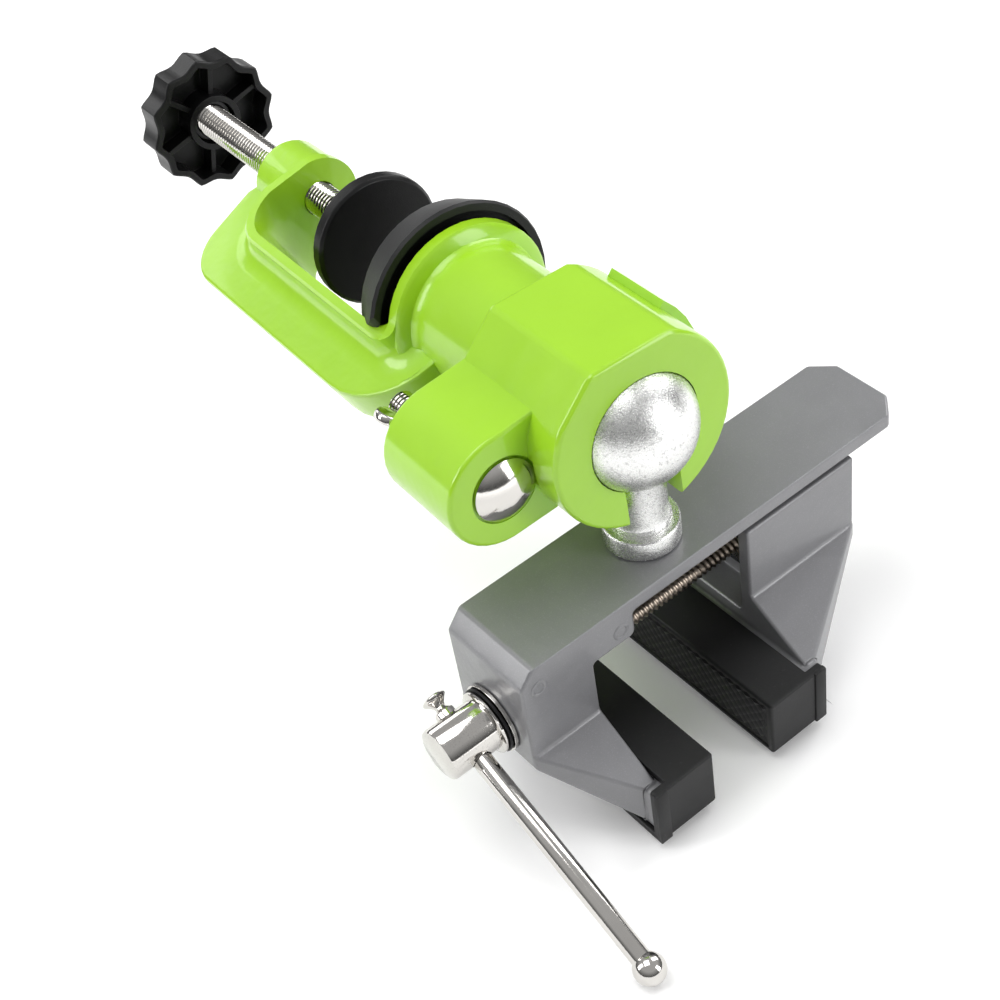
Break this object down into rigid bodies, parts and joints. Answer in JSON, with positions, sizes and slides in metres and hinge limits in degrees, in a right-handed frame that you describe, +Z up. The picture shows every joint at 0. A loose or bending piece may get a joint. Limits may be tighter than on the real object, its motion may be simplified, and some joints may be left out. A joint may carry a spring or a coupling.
{
  "type": "swivel bench vise",
  "caption": "Light bench vise hung from a lockable ball joint on a C-shaped table clamp, with rubber-covered jaws, a lever screw and a lobed clamp knob.",
  "frame": {"origin": "centre of the bench face of the fixed clamp pad", "axes": "+Y along the clamp screw toward its knob, square off the fixed pad; +Z up with the vise head hanging below the ball; +X toward the far end of the vise beam"},
  "size_m": [0.1517, 0.2929, 0.129],
  "materials": {
    "clamp_paint": "gloss lime green paint on a casting",
    "housing_paint": "gloss lime green paint on a casting",
    "vise_paint": "satin gray metallic paint on a casting",
    "pad_rubber": "matt black",
    "jaw_rubber": "matt black",
    "black_plastic": "fine matt black",
    "satin_steel": "blasted satin",
    "plated": "nickel plated",
    "thread_steel": "oiled, slightly brown",
    "dark_steel": "black oxide",
    "brass": "plain"
  },
  "bodies": {
    "clamp": {"clamp_frame": "clamp_paint", "fixed_pad": "pad_rubber", "ball_seat": "dark_steel"},
    "pad": {"pressure_pad": "black_plastic", "pad_retainer": "plated"},
    "screw": {"clamp_screw": "plated", "clamp_knob": "black_plastic", "knob_insert": "brass"},
    "socket": {"socket_housing": "housing_paint", "lock_fork": "dark_steel", "lock_bolt": "plated"},
    "washer": {"wing_nut_washer": "plated"},
    "nut": {"wing_nut": "plated"},
    "stud": {"ball_stud": "satin_steel"},
    "vise": {"vise_body": "vise_paint", "fixed_jaw_cover": "jaw_rubber", "stud_screw": "plated", "stud_washer": "plated", "slide_stop": "dark_steel", "stop_screw": "plated"},
    "jaw": {"movable_jaw": "vise_paint", "movable_jaw_cover": "jaw_rubber", "lead_nut": "brass"},
    "lead": {"lead_screw": "thread_steel", "thrust_washer": "plated", "thrust_ring": "pad_rubber", "lead_collar": "dark_steel"},
    "lever": {"lever_bar": "plated"}
  },
  "joints": [
    {"name": "pad_travel", "type": "slide", "parent": "clamp", "child": "pad", "axis": [0, 1, 0], "range_m": [-0.0285, 0.024]},
    {"name": "clamp_screw_turn", "type": "hinge", "parent": "pad", "child": "screw", "pos_m": [0, 0.08, 0], "axis": [0, 1, 0], "continuous": true},
    {"name": "socket_swivel", "type": "hinge", "parent": "clamp", "child": "socket", "pos_m": [0, -0.0848, 0], "axis": [0, -1, 0], "continuous": true},
    {"name": "lock_nut_travel", "type": "slide", "parent": "socket", "child": "washer", "axis": [0, 1, 0], "range_m": [0, 0.003]},
    {"name": "wing_nut_turn", "type": "hinge", "parent": "washer", "child": "nut", "pos_m": [-0.034, -0.05, -0.003], "axis": [0, 1, 0], "continuous": true},
    {"name": "ball_tilt", "type": "hinge", "parent": "socket", "child": "stud", "pos_m": [0, -0.0848, 0], "axis": [-1, 0, 0], "range_deg": [0, 130]},
    {"name": "head_spin", "type": "hinge", "parent": "stud", "child": "vise", "pos_m": [0, -0.0848, 0], "axis": [0, -0.0628, 0.998], "continuous": true},
    {"name": "jaw_slide", "type": "slide", "parent": "vise", "child": "jaw", "axis": [0.9983, 0.0575, 0.0036], "range_m": [-0.0202, 0.0155]},
    {"name": "lead_turn", "type": "hinge", "parent": "vise", "child": "lead", "pos_m": [0, -0.0807, -0.06517], "axis": [-0.9983, -0.0575, -0.0036], "continuous": true},
    {"name": "lever_slide", "type": "slide", "parent": "lead", "child": "lever", "axis": [-0.0527, 0.8863, 0.4601], "range_m": [-0.004, 0.0585]}
  ],
  "couplings": [
    {"joint": "clamp_screw_turn", "follows": "pad_travel", "rad_per_m": 4188.8},
    {"joint": "wing_nut_turn", "follows": "lock_nut_travel", "rad_per_m": 5026.5},
    {"joint": "lead_turn", "follows": "jaw_slide", "rad_per_m": 3590.4}
  ]
}
